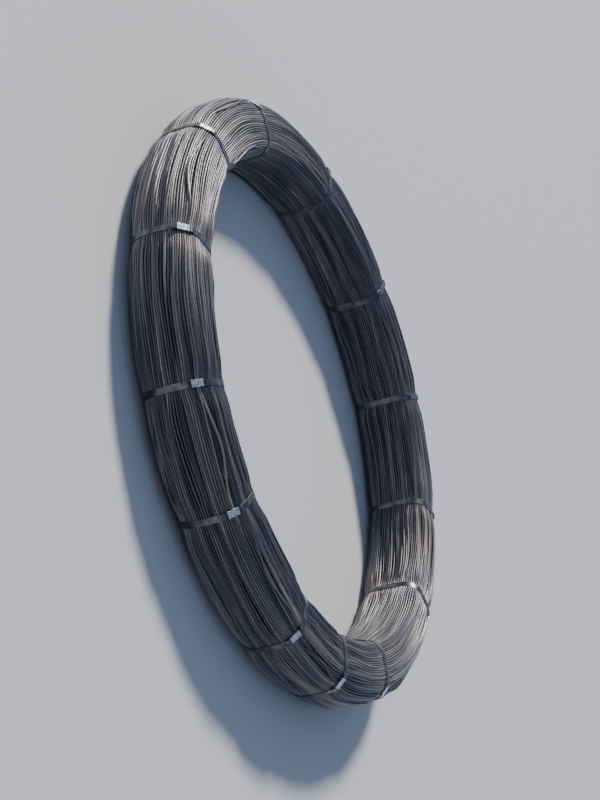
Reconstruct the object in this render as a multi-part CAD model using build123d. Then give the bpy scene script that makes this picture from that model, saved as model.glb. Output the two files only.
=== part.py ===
"""Coil of steel wire rod, a slim ring bundle held by flat steel straps.

One rod of 6.5 mm, over four kilometres long, is wound into a ring bundle with a
wide eye. The coil lies flat here: its eye is upright along +Z, the floor is z = 0
and the origin is on the eye's axis.

The bundle is one turned solid. Grooves run round both of its ends and its outer side,
where one group of turns meets the next, and the wall of the eye is plain, as the turns
were wound against a former. Every strap draws the bundle into a waist, so its seat is
cut there, and the strap and its crimped seal take their places from that seat.
"""
from build123d import *
from math import atan2, cos, degrees, radians, sin
import os

# Bundle of turns
eye_diameter = 1500.0
radial_build = 195.0
axial_width = 215.0
inner_corner_radius = 0.28 * axial_width
outer_corner_radius = 0.4 * axial_width

# The outline turns each corner in straight runs, which are the groups of turns
inner_corner_run_count = 2
outer_corner_run_count = 3
groove_width = 9.0
groove_depth = 5.0

# Flat steel straps, at their uneven places round the ring
strap_angles = (21, 48, 80, 115, 144, 172, 200, 222, 249, 268, 290, 326, 353)
strap_width = 19.0
strap_thickness = 1.0
strap_bite = 6.0
strap_gap_to_turns = 0.3

# Beside every strap the bundle swells from its waist until it is past full size
swell_length = 60.0
swell_past_full_size = 4.0

# Crimped seals, one on the middle run of each strap's outer upper corner
seal_length = 34.0
seal_sheet = 0.9
seal_gap = 0.2
lap_beyond_seal = 3.0
seal_gap_to_seat_walls = 0.5

eye_radius = eye_diameter / 2
outer_radius = eye_radius + radial_build
lap_length = seal_length + 2 * lap_beyond_seal
lap_thickness = 2 * strap_thickness
seal_width = strap_width + 2 * (seal_gap + seal_sheet)
seat_width = seal_width + 2 * seal_gap_to_seat_walls
seal_lift = seal_sheet + seal_gap
lap_middle_height = strap_gap_to_turns + seal_lift + lap_thickness / 2


def toward(angle):
    """Unit vector in the section, 0 pointing away from the eye and 90 up."""
    return Vector(cos(radians(angle)), sin(radians(angle)))


# Centres of the section's rounded corners, as radius from the eye's axis and height
inner_centre = eye_radius + inner_corner_radius
outer_centre = outer_radius - outer_corner_radius
inner_lower = Vector(inner_centre, inner_corner_radius)
inner_upper = Vector(inner_centre, axial_width - inner_corner_radius)
outer_lower = Vector(outer_centre, outer_corner_radius)
outer_upper = Vector(outer_centre, axial_width - outer_corner_radius)

# The corners counter-clockwise from the floor: centre, radius, first angle, runs
outer_lower_corner = (outer_lower, outer_corner_radius, -90, outer_corner_run_count)
outer_upper_corner = (outer_upper, outer_corner_radius, 0, outer_corner_run_count)
inner_upper_corner = (inner_upper, inner_corner_radius, 90, inner_corner_run_count)
inner_lower_corner = (inner_lower, inner_corner_radius, 180, inner_corner_run_count)


def bends(corner, depth=0.0):
    """The points where the outline bends round a corner, with its runs a depth below."""
    centre, radius, start, run_count = corner
    step = 90 / run_count
    reach = radius - depth / cos(radians(step / 2))
    return [centre + toward(start + step * number) * reach for number in range(run_count + 1)]


def grooved(before, bend, after):
    """The outline at a bend that has a groove, between the bends on either side."""
    back = (before - bend).normalized()
    onward = (after - bend).normalized()
    inward = Vector(back.Y - onward.Y, onward.X - back.X).normalized()
    half_width = groove_width / 2
    return [bend + back * half_width, bend + inward * groove_depth, bend + onward * half_width]


def bundle_outline():
    """The bundle's section from crest to crest, grooved all round but at the eye."""
    at_bends = [
        *bends(outer_lower_corner),
        *bends(outer_upper_corner),
        *bends(inner_upper_corner),
        *bends(inner_lower_corner),
    ]
    outline = []
    for number, bend in enumerate(at_bends):
        at_the_eye = bend.X < eye_radius + groove_depth
        if at_the_eye:
            outline.append(bend)
        else:
            after = at_bends[(number + 1) % len(at_bends)]
            outline += grooved(at_bends[number - 1], bend, after)
    return outline


def strap_line(depth, lift=0.0):
    """The straight runs of a tight strap, from bend to bend at a depth below them.

    The second run of the outer upper corner carries the lap, and lift raises it.
    """
    over_corner = bends(outer_upper_corner, depth)
    over_corner[1:3] = bends(outer_upper_corner, depth - lift)[1:3]
    return [
        *bends(outer_lower_corner, depth),
        *over_corner,
        *bends(inner_upper_corner, depth),
        *bends(inner_lower_corner, depth),
    ]


def face_of(outline):
    """The flat face inside a closed outline of the section."""
    with BuildSketch(Plane.XZ) as drawn:
        with BuildLine():
            Polyline(*outline, close=True)
        make_face()
    return drawn.sketch


def turned_to(angle, shape):
    """The shape turned round the eye's axis."""
    return Rot(0, 0, angle) * shape


def bundle_solid():
    """All the turns as one turned ring, with its seam under the first strap."""
    return revolve(turned_to(strap_angles[0], face_of(bundle_outline())), Axis.Z)


def seat_cut():
    """What a tight strap presses away: all that is outside the bundle's waist.

    The waist is even under the strap and its seal, and swells on both sides of them.
    """
    seat = face_of(strap_line(strap_bite))
    under_strap = extrude(seat, seat_width / 2, both=True)
    swell_angle = degrees(atan2(strap_bite + swell_past_full_size, swell_length))
    beside_strap = extrude(Pos(0, -seat_width / 2) * seat, swell_length, taper=-swell_angle)
    waist = under_strap + beside_strap + mirror(beside_strap, about=Plane.XZ)
    with BuildSketch(Plane.XZ) as around:
        with Locations((eye_radius + radial_build / 2, axial_width / 2)):
            Rectangle(radial_build + strap_bite, axial_width + strap_bite)
    return extrude(around.sketch, seat_width / 2 + swell_length, both=True) - waist


def across_lap(height):
    """Plane across the lapped run of a strap, at a height above its seat."""
    run_angle = 90 / outer_corner_run_count
    out = toward(1.5 * run_angle)
    seat_from_centre = outer_corner_radius * cos(radians(run_angle / 2)) - strap_bite
    middle = outer_upper + out * (seat_from_centre + height)
    return Plane(
        origin=(middle.X, 0, middle.Y),
        x_dir=(-out.Y, 0, out.X),
        z_dir=(out.X, 0, out.Y),
    )


def strap_solid():
    """A tight band whose ends lie lapped where the seal holds them."""
    inside = face_of(strap_line(strap_bite - strap_gap_to_turns, seal_lift))
    outside = face_of(strap_line(strap_bite - strap_gap_to_turns - strap_thickness, seal_lift))
    band = extrude(outside - inside, strap_width / 2, both=True)
    upper_end = Box(lap_length, strap_width, strap_thickness)
    upper_end_height = lap_middle_height + strap_thickness / 2
    return band + across_lap(upper_end_height) * upper_end


def seal_solid():
    """A folded sleeve, crimped round the two lapped ends of a strap."""
    sleeve = Box(seal_length, seal_width, lap_thickness + 2 * (seal_gap + seal_sheet))
    passage = Box(2 * seal_length, strap_width + 2 * seal_gap, lap_thickness + 2 * seal_gap)
    return across_lap(lap_middle_height) * (sleeve - passage)


seats = [turned_to(angle, seat_cut()) for angle in strap_angles]
wire_coil = bundle_solid() - seats

os.makedirs("parts", exist_ok=True)
export_step(wire_coil, "parts/wire_coil.step")
for number, angle in enumerate(strap_angles, start=1):
    export_step(turned_to(angle, strap_solid()), f"parts/strap_{number:02d}.step")
    export_step(turned_to(angle, seal_solid()), f"parts/seal_{number:02d}.step")
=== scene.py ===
"""A coil of steel wire rod, lying flat, held by flat steel straps with crimped seals."""

import math

import bpy
import numpy as np
from mathutils import Matrix, Vector


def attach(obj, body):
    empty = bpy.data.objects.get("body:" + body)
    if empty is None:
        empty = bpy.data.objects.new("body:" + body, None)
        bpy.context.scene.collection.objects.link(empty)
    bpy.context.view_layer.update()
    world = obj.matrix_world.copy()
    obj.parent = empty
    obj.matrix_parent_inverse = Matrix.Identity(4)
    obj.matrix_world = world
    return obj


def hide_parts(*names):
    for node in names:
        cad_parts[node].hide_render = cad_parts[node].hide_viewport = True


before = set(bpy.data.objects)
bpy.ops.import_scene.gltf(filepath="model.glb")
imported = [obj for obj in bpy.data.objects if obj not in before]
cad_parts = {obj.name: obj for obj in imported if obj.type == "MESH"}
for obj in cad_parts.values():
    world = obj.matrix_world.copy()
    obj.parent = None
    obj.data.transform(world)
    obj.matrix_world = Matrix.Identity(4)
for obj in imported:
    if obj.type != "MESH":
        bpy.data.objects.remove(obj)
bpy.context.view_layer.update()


# Camera.
# It stands a little over five metres from the coil and two above the floor, and is rolled so that
# the coil stands upright in the picture.
coil_middle = Vector((0.0, 0.0, 0.1075))
toward_camera = Vector((-0.8367, -0.4195, 0.3521)).normalized()
picture_up = Vector((-0.3599, 0.9057, 0.2238))
camera_distance = 5.46

camera_data = bpy.data.cameras.new("camera")
camera_data.lens = 80.0
camera_data.sensor_width = 36.0
camera = bpy.data.objects.new("camera", camera_data)
bpy.context.scene.collection.objects.link(camera)
picture_right = picture_up.cross(toward_camera).normalized()
picture_up = toward_camera.cross(picture_right)
camera_axes = Matrix((picture_right, picture_up, toward_camera)).transposed().to_4x4()
camera.matrix_world = (
    Matrix.Translation(coil_middle + toward_camera * camera_distance) @ camera_axes
)
bpy.context.scene.camera = camera


# The rod, wound into a slim ring bundle.
# One steel rod of 6.5 mm, hot rolled and laid turn beside turn. The layer that shows is wound here
# as one long rod that moves on by its own width at each turn, over a second layer and a dark middle.
eye_radius = 0.750
outer_radius = 0.945
bundle_height = 0.215
eye_corner = 0.28 * bundle_height
outer_corner = 0.4 * bundle_height
steps_round_corner = 60
rod_radius = 0.00325

# The straps' places round the ring, in degrees, which the turns need too: each strap pinches them,
# evenly where the strap lies and then less and less up to the reach.
strap_angles = (21, 48, 80, 115, 144, 172, 200, 222, 249, 268, 290, 326, 353)
pinch_depth = 0.0068
pinch_even = 0.008
pinch_reach = 0.070


def section_line():
    """The bundle's rounded section: distance along it, radius, height and outward angle."""
    corners = (
        (outer_radius - outer_corner, bundle_height - outer_corner, 0, outer_corner),
        (eye_radius + eye_corner, bundle_height - eye_corner, 90, eye_corner),
        (eye_radius + eye_corner, eye_corner, 180, eye_corner),
        (outer_radius - outer_corner, outer_corner, 270, outer_corner),
    )
    radius, height, facing = [], [], []
    for centre_radius, centre_height, first, rounding in corners:
        for angle in np.radians(np.linspace(first, first + 90, steps_round_corner)):
            radius.append(centre_radius + rounding * math.cos(angle))
            height.append(centre_height + rounding * math.sin(angle))
            facing.append(angle)
    radius.append(radius[0])
    height.append(height[0])
    facing.append(facing[0] + 2 * math.pi)
    radius, height, facing = map(np.array, (radius, height, facing))
    along = np.concatenate([[0], np.cumsum(np.hypot(np.diff(radius), np.diff(height)))])
    return along, radius, height, facing


section_length = section_line()[0][-1]


def on_section(share, inset):
    """Radius, height and outward angle at a share 0..1 of the section, an inset below its line."""
    along, radius, height, facing = section_line()
    at = np.mod(share, 1.0) * along[-1]
    angle = np.interp(at, along, facing)
    return (
        np.interp(at, along, radius) - inset * np.cos(angle),
        np.interp(at, along, height) - inset * np.sin(angle),
        angle,
    )


def pinched(ring_angle):
    """How far the nearest strap has pulled the turns in, from 0 between straps to 1 under one."""
    ring_angle = np.asarray(ring_angle, float)
    pull = np.zeros_like(ring_angle)
    for strap in np.radians(strap_angles):
        away = np.mod(ring_angle - strap + math.pi, 2 * math.pi) - math.pi
        away = np.abs(away) * (eye_radius + outer_radius) / 2
        fade = np.clip((away - pinch_even) / (pinch_reach - pinch_even), 0, 1)
        pull = np.maximum(pull, 0.5 + 0.5 * np.cos(math.pi * fade))
    return pull


def slow_waves(seed, count, across, around):
    """A smooth unevenness over the layer: waves across the section and around the ring."""
    chance = np.random.default_rng(seed)
    waves = [
        (
            chance.uniform(*across) * chance.choice((-1, 1)),
            int(chance.integers(around[0], around[1] + 1)),
            chance.uniform(0, 2 * math.pi),
        )
        for _ in range(count)
    ]

    def unevenness(share, ring_angle):
        total = sum(
            np.cos(2 * math.pi * waves_across * share + waves_around * ring_angle + start)
            for waves_across, waves_around, start in waves
        )
        return total / math.sqrt(count / 2)

    return unevenness


# Between straps the turns sink below the bundle's full size by these depths, in metres: all alike,
# in broad hollows, in hollows between groups of turns, and turn by turn.
sunk_alike, sunk_broadly, sunk_by_group, sunk_by_turn = 0.0021, 0.0009, 0.0015, 0.0006
sunk_at_most = 0.0065
broad_hollows = slow_waves(3, 8, (0.5, 4), (1, 7))
group_hollows = slow_waves(5, 16, (7, 22), (2, 14))
turn_hollows = slow_waves(8, 20, (25, 48), (3, 30))

# They also drift aside, broadly and in groups.
drift_broadly, drift_by_group = 0.0022, 0.0010
broad_drift = slow_waves(13, 10, (1, 5), (3, 16))
group_drift = slow_waves(21, 14, (8, 20), (2, 12))

# Turns that have slipped out of their place between two straps and lie across their neighbours:
# the turn, the two straps' angles, and how many places it moves aside.
stray_turns = (
    (6, 115, 144, 2.6), (9, 144, 172, -2.2), (4, 48, 80, 2.0), (8, 200, 222, 2.4),
    (11, 222, 249, -2.0), (5, 290, 326, -1.7), (7, 249, 268, 1.8), (10, 21, 48, -2.3),
    (30, 115, 144, -2.1), (33, 144, 172, 1.6), (28, 172, 200, 2.2), (31, 21, 48, -1.8),
    (32, 268, 290, 2.0), (29, 222, 249, -1.6), (57, 80, 115, 1.8), (80, 80, 115, 2.2),
    (83, 200, 222, -2.0), (78, 290, 326, 2.0), (81, 326, 353, 1.9), (79, 144, 172, -2.2),
)
stray_clear_of_straps = 3.5
stray_steepness = 2.4
stray_lift = 0.0060


def out_of_place(travel):
    """How far a stray turn is lifted onto its neighbours, 0 to 1, and its places aside."""
    lifted, aside = np.zeros_like(travel), np.zeros_like(travel)
    for turn, first_strap, last_strap, places in stray_turns:
        start = turn + (first_strap + stray_clear_of_straps) / 360
        end = turn + (last_strap - stray_clear_of_straps) / 360
        through = np.clip((travel - start) / (end - start), 0, 1)
        lifted += np.clip(np.sin(math.pi * through) * stray_steepness, 0, 1)
        aside += places * np.sin(math.pi * through) ** 2
    return lifted, aside


# Every layer starts a little up the outer upper corner, at this share of the section. Along a turn,
# its length is reckoned at the middle of the bundle.
layer_start = 0.02
turn_length = 2 * math.pi * 0.85


def wound_rod(first_travel, last_travel, turn_count, depth, steps_per_turn, strays):
    """A rod wound as one layer: its middle, the ways out and aside, travel in turns and share."""
    steps = int(round((last_travel - first_travel) * steps_per_turn)) + 1
    travel = first_travel + np.arange(steps) / steps_per_turn
    ring_angle = 2 * math.pi * travel
    share = layer_start + travel / turn_count
    pull = pinched(ring_angle)
    sunk = sunk_alike + sunk_broadly * broad_hollows(share, ring_angle)
    sunk = sunk + sunk_by_group * group_hollows(share, ring_angle)
    sunk = np.clip(sunk + sunk_by_turn * turn_hollows(share, ring_angle), 0.0, sunk_at_most)
    inset = depth + rod_radius + (1 - pull) * sunk + pull * pinch_depth
    drift = drift_broadly * broad_drift(share, ring_angle)
    drift = drift + drift_by_group * group_drift(share, ring_angle)
    share = share + (1 - pull) * drift / section_length
    if strays:
        lifted, places = out_of_place(travel)
        inset = inset - stray_lift * lifted
        share = share + places / turn_count
    ring_radius, height, angle = on_section(share, inset)
    height = np.maximum(height, rod_radius + depth)
    c, s = np.cos(ring_angle), np.sin(ring_angle)
    middle = np.stack([ring_radius * c, ring_radius * s, height], 1)
    out = np.stack([np.cos(angle) * c, np.cos(angle) * s, np.sin(angle)], 1)
    aside = np.stack([-np.sin(angle) * c, -np.sin(angle) * s, np.cos(angle)], 1)
    return middle, out, aside, travel, share


def bar_mesh(name, wound, sides):
    """A stretch of a wound rod as a round bar, closed at both ends."""
    middle, out, aside, _, _ = wound
    count = len(middle)
    around = 2 * math.pi * np.arange(sides) / sides
    places = (
        middle[:, None]
        + rod_radius * np.cos(around)[None, :, None] * out[:, None]
        + rod_radius * np.sin(around)[None, :, None] * aside[:, None]
    ).reshape(-1, 3)
    ring = np.arange(count - 1)[:, None] * sides
    side = np.arange(sides)[None, :]
    beside = (side + 1) % sides
    quads = np.stack([ring + side, ring + side + sides, ring + beside + sides, ring + beside], -1)
    ends = [list(range(sides)), [(count - 1) * sides + i for i in reversed(range(sides))]]
    mesh = bpy.data.meshes.new(name)
    mesh.from_pydata(places.tolist(), [], quads.reshape(-1, 4).tolist() + ends)
    mesh.polygons.foreach_set("use_smooth", np.ones(len(mesh.polygons), bool))
    return mesh


def give_lay_of_turns(mesh, wound, sides):
    """For the finish: each point's turn, and its metres across the section and along the rod."""
    _, _, _, travel, share = wound
    lay = np.stack([travel, share * section_length, travel * turn_length], 1)
    lay_of_turns = mesh.attributes.new("lay_of_turns", "FLOAT_VECTOR", "POINT")
    lay_of_turns.data.foreach_set("vector", np.repeat(lay, sides, 0).astype(np.float32).ravel())


def lay_out_flat(mesh, wound, sides):
    """The bar unrolled for baking, one strip for each turn, and its ends in a corner."""
    _, _, _, travel, _ = wound
    side = np.arange(sides)[None, :, None]
    turns = math.ceil(travel[-1] - travel[0])
    strip = np.floor(travel[:-1] - travel[0] + 1e-6)
    from_left = travel[:-1] - travel[0] - strip
    step = travel[1] - travel[0]
    flat = np.empty((len(travel) - 1, sides, 4, 2))
    flat[..., 0] = from_left[:, None, None] + step * np.array([0, 1, 1, 0])
    flat[..., 1] = (strip[:, None, None] + (side + np.array([0, 0, 1, 1])) / sides) / turns
    flat = np.concatenate([np.clip(flat, 0, 1).reshape(-1, 2), np.zeros((2 * sides, 2))])
    layout = mesh.uv_layers.new(name="OFBake")
    layout.uv.foreach_set("vector", flat.astype(np.float32).ravel())


def rod_piece(name, wound, sides, finish):
    """A stretch of a wound rod as a piece of the bundle."""
    mesh = bar_mesh(name, wound, sides)
    give_lay_of_turns(mesh, wound, sides)
    lay_out_flat(mesh, wound, sides)
    mesh.materials.append(finish)
    piece = bpy.data.objects.new(name, mesh)
    bpy.context.scene.collection.objects.link(piece)
    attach(piece, "root")
    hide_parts("wire_coil")


def noise_on(nodes, links, place, stretch, detail):
    """Noise over a place that is stretched by three numbers."""
    stretched = nodes.new("ShaderNodeVectorMath")
    stretched.operation = "MULTIPLY"
    stretched.inputs[1].default_value = stretch
    links.new(place, stretched.inputs[0])
    noise = nodes.new("ShaderNodeTexNoise")
    noise.inputs["Scale"].default_value = 1.0
    noise.inputs["Detail"].default_value = detail
    links.new(stretched.outputs[0], noise.inputs["Vector"])
    return noise.outputs["Fac"]


def colour_steps(nodes, links, value, steps):
    """A colour that follows a value through the steps given as (position, red, green, blue)."""
    colours = nodes.new("ShaderNodeValToRGB")
    ramp = colours.color_ramp
    for number, (position, *colour) in enumerate(steps):
        element = ramp.elements[number] if number < 2 else ramp.elements.new(position)
        element.position = position
        element.color = (*colour, 1)
    links.new(value, colours.inputs["Fac"])
    return colours.outputs["Color"]


def tinted_by(nodes, links, colour, tint):
    """A colour multiplied by another."""
    tinted = nodes.new("ShaderNodeMix")
    tinted.data_type = "RGBA"
    tinted.blend_type = "MULTIPLY"
    tinted.inputs["Factor"].default_value = 1.0
    links.new(colour, tinted.inputs["A"])
    links.new(tint, tinted.inputs["B"])
    return tinted.outputs["Result"]


def spread_between(nodes, links, value, low, high):
    """A value from 0.3 to 0.7 spread between two numbers."""
    spread = nodes.new("ShaderNodeMapRange")
    spread.inputs["From Min"].default_value = 0.3
    spread.inputs["From Max"].default_value = 0.7
    spread.inputs["To Min"].default_value = low
    spread.inputs["To Max"].default_value = high
    links.new(value, spread.inputs["Value"])
    return spread.outputs["Result"]


def relief(nodes, links, value, strength, distance):
    """A fine relief that follows a value."""
    bump = nodes.new("ShaderNodeBump")
    bump.inputs["Strength"].default_value = strength
    bump.inputs["Distance"].default_value = distance
    links.new(value, bump.inputs["Height"])
    return bump.outputs["Normal"]


# Hot rolled rod: dark blue-grey scale that differs from turn to turn, with paler and browner
# stretches by groups of turns, partly dust and rubbing and partly painted sheen where groups of
# turns catch the light, small flakes of scale, and a fine grain.
# Each list of colours gives its two ends first, and then the steps between them.
turn_colours = (
    (0.30, 0.060, 0.069, 0.094),
    (0.72, 0.370, 0.350, 0.316),
    (0.48, 0.128, 0.133, 0.148),
    (0.61, 0.186, 0.160, 0.153),
)
# The group tints are partly dust and rubbing and partly painted sheen: paler stretches where groups
# of turns catch the light.
dust_and_painted_sheen_tints = ((0.38, 0.40, 0.43, 0.53), (0.62, 1.72, 1.64, 1.50), (0.50, 0.90, 0.90, 0.93))
flake_tints = ((0.36, 0.84, 0.85, 0.88), (0.64, 1.14, 1.10, 1.05))

hot_rolled_rod = bpy.data.materials.new("hot_rolled_rod")
hot_rolled_rod.use_nodes = True
nodes, links = hot_rolled_rod.node_tree.nodes, hot_rolled_rod.node_tree.links
shader = nodes["Principled BSDF"]
lay_of_turns = nodes.new("ShaderNodeAttribute")
lay_of_turns.attribute_name = "lay_of_turns"
lay = lay_of_turns.outputs["Vector"]
place = nodes.new("ShaderNodeTexCoord").outputs["Object"]
of_each_turn = noise_on(nodes, links, lay, (14.0, 0.0, 0.0), 3.0)
# Noise over groups of turns for the group tints: dust and rubbing, and painted sheen.
turn_groups_dust_and_sheen = noise_on(nodes, links, lay, (0.0, 31.0, 1.3), 4.0)
scale_flakes = noise_on(nodes, links, place, (150.0, 150.0, 150.0), 5.0)
scale_grain = noise_on(nodes, links, place, (260.0, 260.0, 260.0), 3.0)
rod_colour = colour_steps(nodes, links, of_each_turn, turn_colours)
for value, tints in ((turn_groups_dust_and_sheen, dust_and_painted_sheen_tints), (scale_flakes, flake_tints)):
    rod_colour = tinted_by(nodes, links, rod_colour, colour_steps(nodes, links, value, tints))
links.new(rod_colour, shader.inputs["Base Color"])
links.new(spread_between(nodes, links, scale_grain, 0.30, 0.54), shader.inputs["Roughness"])
links.new(relief(nodes, links, scale_grain, 0.25, 0.0004), shader.inputs["Normal"])
shader.inputs["Metallic"].default_value = 0.65

# The layer that shows, in three lengths that meet end to end. Its free ends lie at 350 and 297
# degrees.
turns_that_show = 98
rod_start, rod_end = -10 / 360, 97 + 297 / 360
for number, (first_travel, last_travel) in enumerate(
    ((rod_start, 33), (33, 66), (66, rod_end)), start=1
):
    stretch = wound_rod(
        first_travel, last_travel, turns_that_show, depth=0.0, steps_per_turn=240, strays=True
    )
    rod_piece(f"wound_rod_{number}", stretch, 8, hot_rolled_rod)

# The layer below it, which shows only in the gaps.
second_layer_turns = 88
second_layer = wound_rod(
    0, second_layer_turns, second_layer_turns, depth=0.0062, steps_per_turn=160, strays=False
)
rod_piece("wound_rod_second_layer", second_layer, 6, hot_rolled_rod)


# The middle of the bundle.
# The turns under the second layer are never seen, so one ring of the same steel stands for them and
# stops the light between the turns above.
middle_inset = 0.0165
ring_steps, section_steps = 180, 48
ring_angles = np.repeat(2 * math.pi * np.arange(ring_steps) / ring_steps, section_steps)
shares = np.tile(np.arange(section_steps) / section_steps, ring_steps)
middle_radius, middle_height, _ = on_section(
    shares, middle_inset + pinched(ring_angles) * pinch_depth
)
middle_places = np.stack(
    [middle_radius * np.cos(ring_angles), middle_radius * np.sin(ring_angles), middle_height], 1
)
middle_faces = [
    (
        i * section_steps + j,
        (i + 1) % ring_steps * section_steps + j,
        (i + 1) % ring_steps * section_steps + (j + 1) % section_steps,
        i * section_steps + (j + 1) % section_steps,
    )
    for i in range(ring_steps)
    for j in range(section_steps)
]
middle_mesh = bpy.data.meshes.new("inner_turns")
middle_mesh.from_pydata(middle_places.tolist(), [], middle_faces)
middle_mesh.polygons.foreach_set("use_smooth", np.ones(len(middle_mesh.polygons), bool))
middle_mesh.materials.append(hot_rolled_rod)
inner_turns = bpy.data.objects.new("inner_turns", middle_mesh)
bpy.context.scene.collection.objects.link(inner_turns)
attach(inner_turns, "root")
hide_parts("wire_coil")


# The straps.
# Flat steel strapping, 19 mm by 1 mm, drawn tight round the bundle in a plane through the eye's axis.
# Its ends lap at the outer upper corner, where the upper one stands a little past the seal.
strap_width = 0.019
strap_thickness = 0.001
strap_edge = 0.00025
strap_clearance = 0.0003
seal_sheet = 0.0009
seal_slack = 0.0002
seal_length = 0.034
lap_height = strap_clearance + seal_sheet + seal_slack
lap_lift = strap_thickness * 1.02
strap_start = -0.021
strap_end_past_seal = 0.012
strap_end_kick = 0.0012

# The strap lies straight within the seal and joins the turns' curve over a short way beside it.
straight_until = 0.018
on_turns_from = 0.040
fine_steps_within = 0.045
fine_step, coarse_step = 0.002, 0.006

seal_share = outer_corner * math.pi / 4 / section_length
seal_radius, seal_height, seal_angle = (
    float(value) for value in on_section(seal_share, pinch_depth)
)
seal_middle = np.array([seal_radius, seal_height])
seal_out = np.array([math.cos(seal_angle), math.sin(seal_angle)])
seal_along = np.array([-seal_out[1], seal_out[0]])


def strap_path():
    """The middle line of a strap's sheet in the section, from its lower end to its upper one."""
    fine_from = section_length - fine_steps_within
    strap_end = section_length + seal_length / 2 + strap_end_past_seal
    distances = np.concatenate(
        [
            np.arange(strap_start, fine_steps_within, fine_step),
            np.arange(fine_steps_within, fine_from, coarse_step),
            np.arange(fine_from, strap_end, fine_step),
        ]
    )
    places = []
    for distance in distances:
        upper = distance > section_length / 2
        beyond = distance - section_length if upper else distance
        lift = lap_lift if upper else 0.0
        share = seal_share + distance / section_length
        radius, height, angle = on_section(share, pinch_depth - strap_clearance)
        on_turns = np.array([float(radius), float(height)])
        outward = np.array([math.cos(float(angle)), math.sin(float(angle))])
        near_lap = (on_turns_from - abs(beyond)) / (on_turns_from - straight_until)
        near_lap = max(0.0, min(1.0, near_lap))
        near_lap = near_lap * near_lap * (3 - 2 * near_lap)
        curved = on_turns + outward * (strap_thickness / 2 + lift * near_lap)
        straight = seal_middle + seal_along * beyond
        straight = straight + seal_out * (lap_height + strap_thickness / 2 + lift)
        places.append(curved * (1 - near_lap) + straight * near_lap)
    tail = (distances - section_length - seal_length / 2) / strap_end_past_seal
    return np.array(places) + np.clip(tail, 0, 1)[:, None] ** 2 * strap_end_kick * seal_out


def placed_on_ring(degrees, points):
    """Points of a strap or seal, as radius, place across the strap and height, on the ring."""
    c, s = math.cos(math.radians(degrees)), math.sin(math.radians(degrees))
    return [
        (radius * c - across * s, radius * s + across * c, height)
        for radius, across, height in points
    ]


def strap_steel():
    """Cold rolled strapping: dark metal, brighter in soft patches, with fine scuffs."""
    finish = bpy.data.materials.new("strapping")
    finish.use_nodes = True
    nodes, links = finish.node_tree.nodes, finish.node_tree.links
    shader = nodes["Principled BSDF"]
    place = nodes.new("ShaderNodeTexCoord").outputs["Object"]
    patches = noise_on(nodes, links, place, (38.0, 38.0, 38.0), 5.0)
    scuffs = noise_on(nodes, links, place, (420.0, 420.0, 90.0), 2.0)
    dark_to_bright = ((0.32, 0.062, 0.066, 0.075), (0.72, 0.220, 0.223, 0.231))
    links.new(colour_steps(nodes, links, patches, dark_to_bright), shader.inputs["Base Color"])
    links.new(spread_between(nodes, links, scuffs, 0.25, 0.46), shader.inputs["Roughness"])
    links.new(relief(nodes, links, scuffs, 0.15, 0.0002), shader.inputs["Normal"])
    shader.inputs["Metallic"].default_value = 1.0
    return finish


path = strap_path()
onward = np.gradient(path, axis=0)
onward /= np.linalg.norm(onward, axis=1)[:, None]
outward = np.stack([onward[:, 1], -onward[:, 0]], 1)
half, thick, edge = strap_width / 2, strap_thickness / 2, strap_edge
strip_section = (
    (-half, -thick + edge), (-half, thick - edge), (-half + edge, thick), (half - edge, thick),
    (half, thick - edge), (half, -thick + edge), (half - edge, -thick), (-half + edge, -thick),
)
strap_points = [
    (at[0] + out[0] * lift, across, at[1] + out[1] * lift)
    for at, out in zip(path, outward)
    for across, lift in strip_section
]
last_section = (len(path) - 1) * 8
strap_faces = [
    (i + j, i + (j + 1) % 8, i + 8 + (j + 1) % 8, i + 8 + j)
    for i in range(0, last_section, 8)
    for j in range(8)
]
strap_faces += [tuple(reversed(range(8))), tuple(last_section + j for j in range(8))]

strapping = strap_steel()
for number, degrees in enumerate(strap_angles, start=1):
    strap_mesh = bpy.data.meshes.new(f"steel_strap_{number:02d}")
    strap_mesh.from_pydata(placed_on_ring(degrees, strap_points), [], strap_faces)
    strap_mesh.materials.append(strapping)
    steel_strap = bpy.data.objects.new(f"steel_strap_{number:02d}", strap_mesh)
    bpy.context.scene.collection.objects.link(steel_strap)
    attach(steel_strap, "root")
    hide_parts(f"strap_{number:02d}")


# The seals.
# A sleeve of bright zinc plated sheet, folded round both ends of a strap with its flanges under them,
# and crimped by a hand tool, which leaves two notches in each edge.
seal_half_width = strap_width / 2 + seal_slack + seal_sheet / 2
seal_half_height = strap_thickness + seal_slack + seal_sheet / 2
flange_gap = 0.0035
fold_radius = 0.0009
seal_stations = 35

# A notch runs in from the seal's edge, and fades out between these two distances from its middle.
crimp_places = (-0.0085, 0.0085)
crimp_depth = 0.0024
crimp_half_length = 0.0030
crimp_fades_out, crimp_full = 0.005, 0.009
crimp_squeeze = 0.14


def seal_fold():
    """The folded sheet's middle line across a seal, flange to flange, with its normals' angles."""
    line = [(flange_gap / 2, -seal_half_height, -90)]
    for across, up, first in ((1, -1, -90), (1, 1, 0), (-1, 1, 90), (-1, -1, 180)):
        for angle in range(first, first + 91, 30):
            turned = math.radians(angle)
            line.append(
                (
                    across * (seal_half_width - fold_radius) + fold_radius * math.cos(turned),
                    up * (seal_half_height - fold_radius) + fold_radius * math.sin(turned),
                    angle,
                )
            )
    line.append((-flange_gap / 2, -seal_half_height, -90))
    return line


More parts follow.
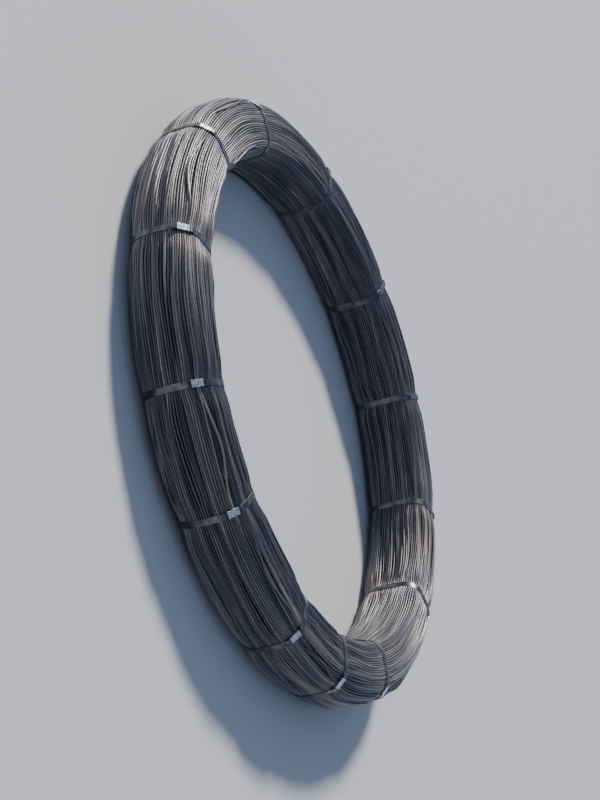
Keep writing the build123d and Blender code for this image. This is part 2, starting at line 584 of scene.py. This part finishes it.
def seal_steel():
    """Bright zinc plate, with soft cloudy patches and a dull grey bloom."""
    finish = bpy.data.materials.new("zinc_plate")
    finish.use_nodes = True
    nodes, links = finish.node_tree.nodes, finish.node_tree.links
    shader = nodes["Principled BSDF"]
    place = nodes.new("ShaderNodeTexCoord").outputs["Object"]
    clouds = noise_on(nodes, links, place, (120.0, 120.0, 120.0), 4.0)
    grey_to_bright = ((0.30, 0.56, 0.57, 0.59), (0.65, 0.86, 0.86, 0.85))
    links.new(colour_steps(nodes, links, clouds, grey_to_bright), shader.inputs["Base Color"])
    links.new(spread_between(nodes, links, clouds, 0.26, 0.42), shader.inputs["Roughness"])
    shader.inputs["Metallic"].default_value = 0.9
    return finish


fold = seal_fold()
seal_points = []
for station in np.linspace(-seal_length / 2, seal_length / 2, seal_stations):
    near_crimp = sum(max(0.0, 1 - abs(station - at) / crimp_half_length) for at in crimp_places)
    for face in (1, -1):
        for across, up, angle in fold:
            y = across + face * math.cos(math.radians(angle)) * seal_sheet / 2
            z = up + face * math.sin(math.radians(angle)) * seal_sheet / 2
            near_edge = (abs(y) - crimp_fades_out) / (crimp_full - crimp_fades_out)
            crimp = near_crimp * crimp_depth * min(1.0, max(0.0, near_edge))
            y -= math.copysign(crimp, y)
            z -= math.copysign(crimp * crimp_squeeze, z)
            at = seal_middle + seal_along * station
            at = at + seal_out * (lap_height + strap_thickness + z)
            seal_points.append((at[0], y, at[1]))

# The sheet's outer and inner faces, its two flange edges, and its two ends.
folds = len(fold)
seal_faces = []
for i in range(seal_stations - 1):
    for j in range(folds):
        a, b = i * 2 * folds + j, (i + 1) * 2 * folds + j
        if j < folds - 1:
            seal_faces.append((a, b, b + 1, a + 1))
            seal_faces.append((a + folds, a + folds + 1, b + folds + 1, b + folds))
        if j == 0:
            seal_faces.append((a, a + folds, b + folds, b))
        if j == folds - 1:
            seal_faces.append((a, b, b + folds, a + folds))
for j in range(folds - 1):
    a, b = j, (seal_stations - 1) * 2 * folds + j
    seal_faces.append((a, a + 1, a + folds + 1, a + folds))
    seal_faces.append((b, b + folds, b + folds + 1, b + 1))

zinc_plate = seal_steel()
for number, degrees in enumerate(strap_angles, start=1):
    seal_mesh = bpy.data.meshes.new(f"crimped_seal_{number:02d}")
    seal_mesh.from_pydata(placed_on_ring(degrees, seal_points), [], seal_faces)
    seal_mesh.materials.append(zinc_plate)
    crimped_seal = bpy.data.objects.new(f"crimped_seal_{number:02d}", seal_mesh)
    bpy.context.scene.collection.objects.link(crimped_seal)
    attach(crimped_seal, "root")
    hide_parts(f"seal_{number:02d}")


# Floor and light.
# A plain pale floor, one large soft lamp from the side that the coil is lit from, and pale walls
# that fill the shadows from all round.
floor_reach = 90
floor_corners = [(-1, -1), (1, -1), (1, 1), (-1, 1)]
floor_mesh = bpy.data.meshes.new("floor")
floor_mesh.from_pydata(
    [(x * floor_reach, y * floor_reach, 0) for x, y in floor_corners], [], [(0, 1, 2, 3)]
)
floor = bpy.data.objects.new("floor", floor_mesh)
bpy.context.scene.collection.objects.link(floor)
floor_paint = bpy.data.materials.new("pale_floor")
floor_paint.use_nodes = True
floor_shader = floor_paint.node_tree.nodes["Principled BSDF"]
floor_shader.inputs["Base Color"].default_value = (0.60, 0.61, 0.63, 1)
floor_shader.inputs["Roughness"].default_value = 0.85
floor_mesh.materials.append(floor_paint)

toward_lamp = Vector((0.19, 0.81, 0.55)).normalized()
lamp_light = bpy.data.lights.new("studio_lamp", "SUN")
lamp_light.energy = 5.2
lamp_light.angle = math.radians(9)
lamp_light.color = (1.0, 0.94, 0.85)
studio_lamp = bpy.data.objects.new("studio_lamp", lamp_light)
studio_lamp.rotation_mode = "QUATERNION"
studio_lamp.rotation_quaternion = toward_lamp.to_track_quat("Z", "Y")
bpy.context.scene.collection.objects.link(studio_lamp)

wall_colours = ((0.0, 0.61, 0.72, 0.89), (0.55, 0.20, 0.27, 0.41))
walls = bpy.data.worlds.new("pale_walls")
walls.use_nodes = True
nodes, links = walls.node_tree.nodes, walls.node_tree.links
up_the_walls = nodes.new("ShaderNodeSeparateXYZ")
links.new(nodes.new("ShaderNodeTexCoord").outputs["Generated"], up_the_walls.inputs[0])
wall_colour = colour_steps(nodes, links, up_the_walls.outputs["Z"], wall_colours)
links.new(wall_colour, nodes["Background"].inputs["Color"])
bpy.context.scene.world = walls
